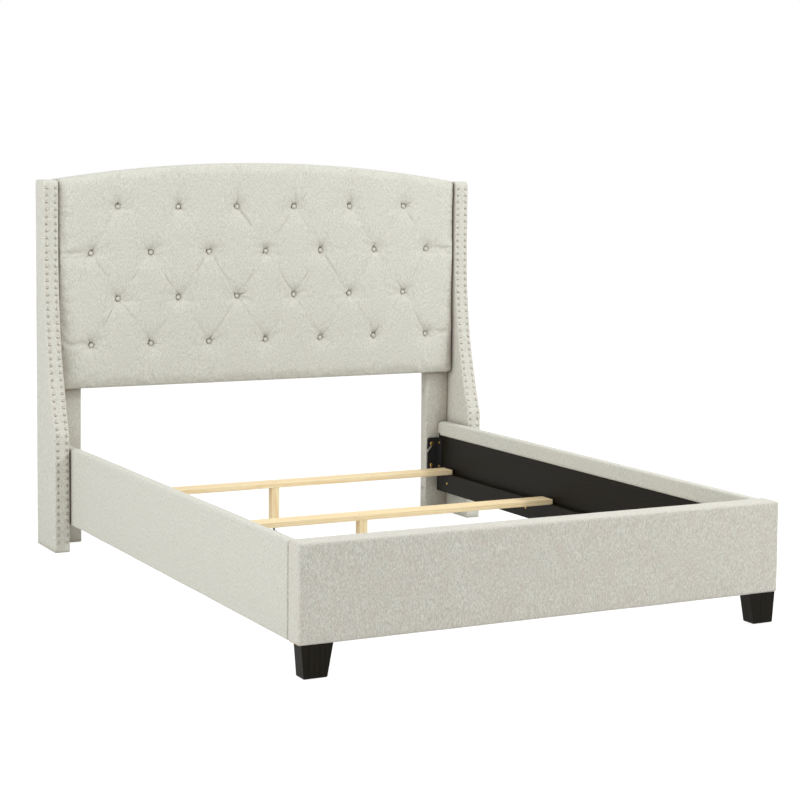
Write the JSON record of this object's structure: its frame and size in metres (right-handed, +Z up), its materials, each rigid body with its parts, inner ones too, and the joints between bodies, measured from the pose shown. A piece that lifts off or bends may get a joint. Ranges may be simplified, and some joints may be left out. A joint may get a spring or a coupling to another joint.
{
  "type": "wingback bed",
  "caption": "Upholstered bed frame with an arched, button-tufted headboard between swept nailhead wings, hook-on side rails, low footboard and lift-out slats.",
  "frame": {"origin": "on the floor under the middle of the bed's bounding box", "axes": "+X across the bed, +Y from the footboard to the headboard, +Z up"},
  "size_m": [1.774, 2.201, 1.4228],
  "materials": {
    "woven_fabric": "heathered weave",
    "foam": "open-cell foam, modelled as a soft fill",
    "dust_cloth": "non-woven",
    "plywood": "raw",
    "frame_timber": "raw sawn",
    "black_wood": "stained, satin",
    "pine": "planed, unfinished",
    "black_steel": "powder coat",
    "brass": "yellow zinc",
    "nickel": "pewter nickel",
    "zinc_steel": "zinc plated",
    "glide_plastic": "moulded"
  },
  "bodies": {
    "bed_frame": {"floor_glides": "glide_plastic", "foot_bolts": "zinc_steel", "footboard_back_board": "plywood", "footboard_cover": "woven_fabric", "footboard_foam": "foam", "footboard_frame": "frame_timber", "footboard_front_board": "plywood", "headboard_back_cloth": "dust_cloth", "headboard_bottom_rail": "frame_timber", "headboard_plywood": "plywood", "headboard_side_band": "woven_fabric", "headboard_studs": "frame_timber", "headboard_top_rail": "frame_timber", "hook_pins": "brass", "left_foot_bracket": "black_steel", "left_front_foot": "black_wood", "left_head_bracket": "black_steel", "left_ledger": "black_wood", "left_leg_cover": "woven_fabric", "left_leg_post": "frame_timber", "left_rail_board": "black_wood", "left_rail_cover": "woven_fabric", "left_rail_foam": "foam", "left_rail_screws": "brass", "left_wing_cover": "woven_fabric", "left_wing_inner_board": "plywood", "left_wing_nailheads": "nickel", "left_wing_outer_board": "plywood", "left_wing_ring": "frame_timber", "right_foot_bracket": "black_steel", "right_front_foot": "black_wood", "right_head_bracket": "black_steel", "right_ledger": "black_wood", "right_leg_cover": "woven_fabric", "right_leg_post": "frame_timber", "right_rail_board": "black_wood", "right_rail_cover": "woven_fabric", "right_rail_foam": "foam", "right_rail_screws": "brass", "right_wing_cover": "woven_fabric", "right_wing_inner_board": "plywood", "right_wing_nailheads": "nickel", "right_wing_outer_board": "plywood", "right_wing_ring": "frame_timber", "tuft_buttons": "woven_fabric", "tufted_cushion": "woven_fabric", "wing_bolts": "zinc_steel"},
    "slat_set_1": {"slat_1": "pine", "centre_leg_1": "pine", "slat_fixings_1": "zinc_steel"},
    "leveller_body_1": {"leveller_1": "glide_plastic"},
    "slat_set_2": {"slat_2": "pine", "centre_leg_2": "pine", "slat_fixings_2": "zinc_steel"},
    "leveller_body_2": {"leveller_2": "glide_plastic"},
    "slat_set_3": {"slat_3": "pine", "centre_leg_3": "pine", "slat_fixings_3": "zinc_steel"},
    "leveller_body_3": {"leveller_3": "glide_plastic"}
  },
  "joints": [
    {"name": "lift_slat_1", "type": "slide", "parent": "bed_frame", "child": "slat_set_1", "axis": [0, 0, 1], "range_m": [0, 0.4]},
    {"name": "screw_leveller_1", "type": "slide", "parent": "slat_set_1", "child": "leveller_body_1", "axis": [0, 0, 1], "range_m": [0, 0.01]},
    {"name": "lift_slat_2", "type": "slide", "parent": "bed_frame", "child": "slat_set_2", "axis": [0, 0, 1], "range_m": [0, 0.4]},
    {"name": "screw_leveller_2", "type": "slide", "parent": "slat_set_2", "child": "leveller_body_2", "axis": [0, 0, 1], "range_m": [0, 0.01]},
    {"name": "lift_slat_3", "type": "slide", "parent": "bed_frame", "child": "slat_set_3", "axis": [0, 0, 1], "range_m": [0, 0.4]},
    {"name": "screw_leveller_3", "type": "slide", "parent": "slat_set_3", "child": "leveller_body_3", "axis": [0, 0, 1], "range_m": [0, 0.01]}
  ]
}
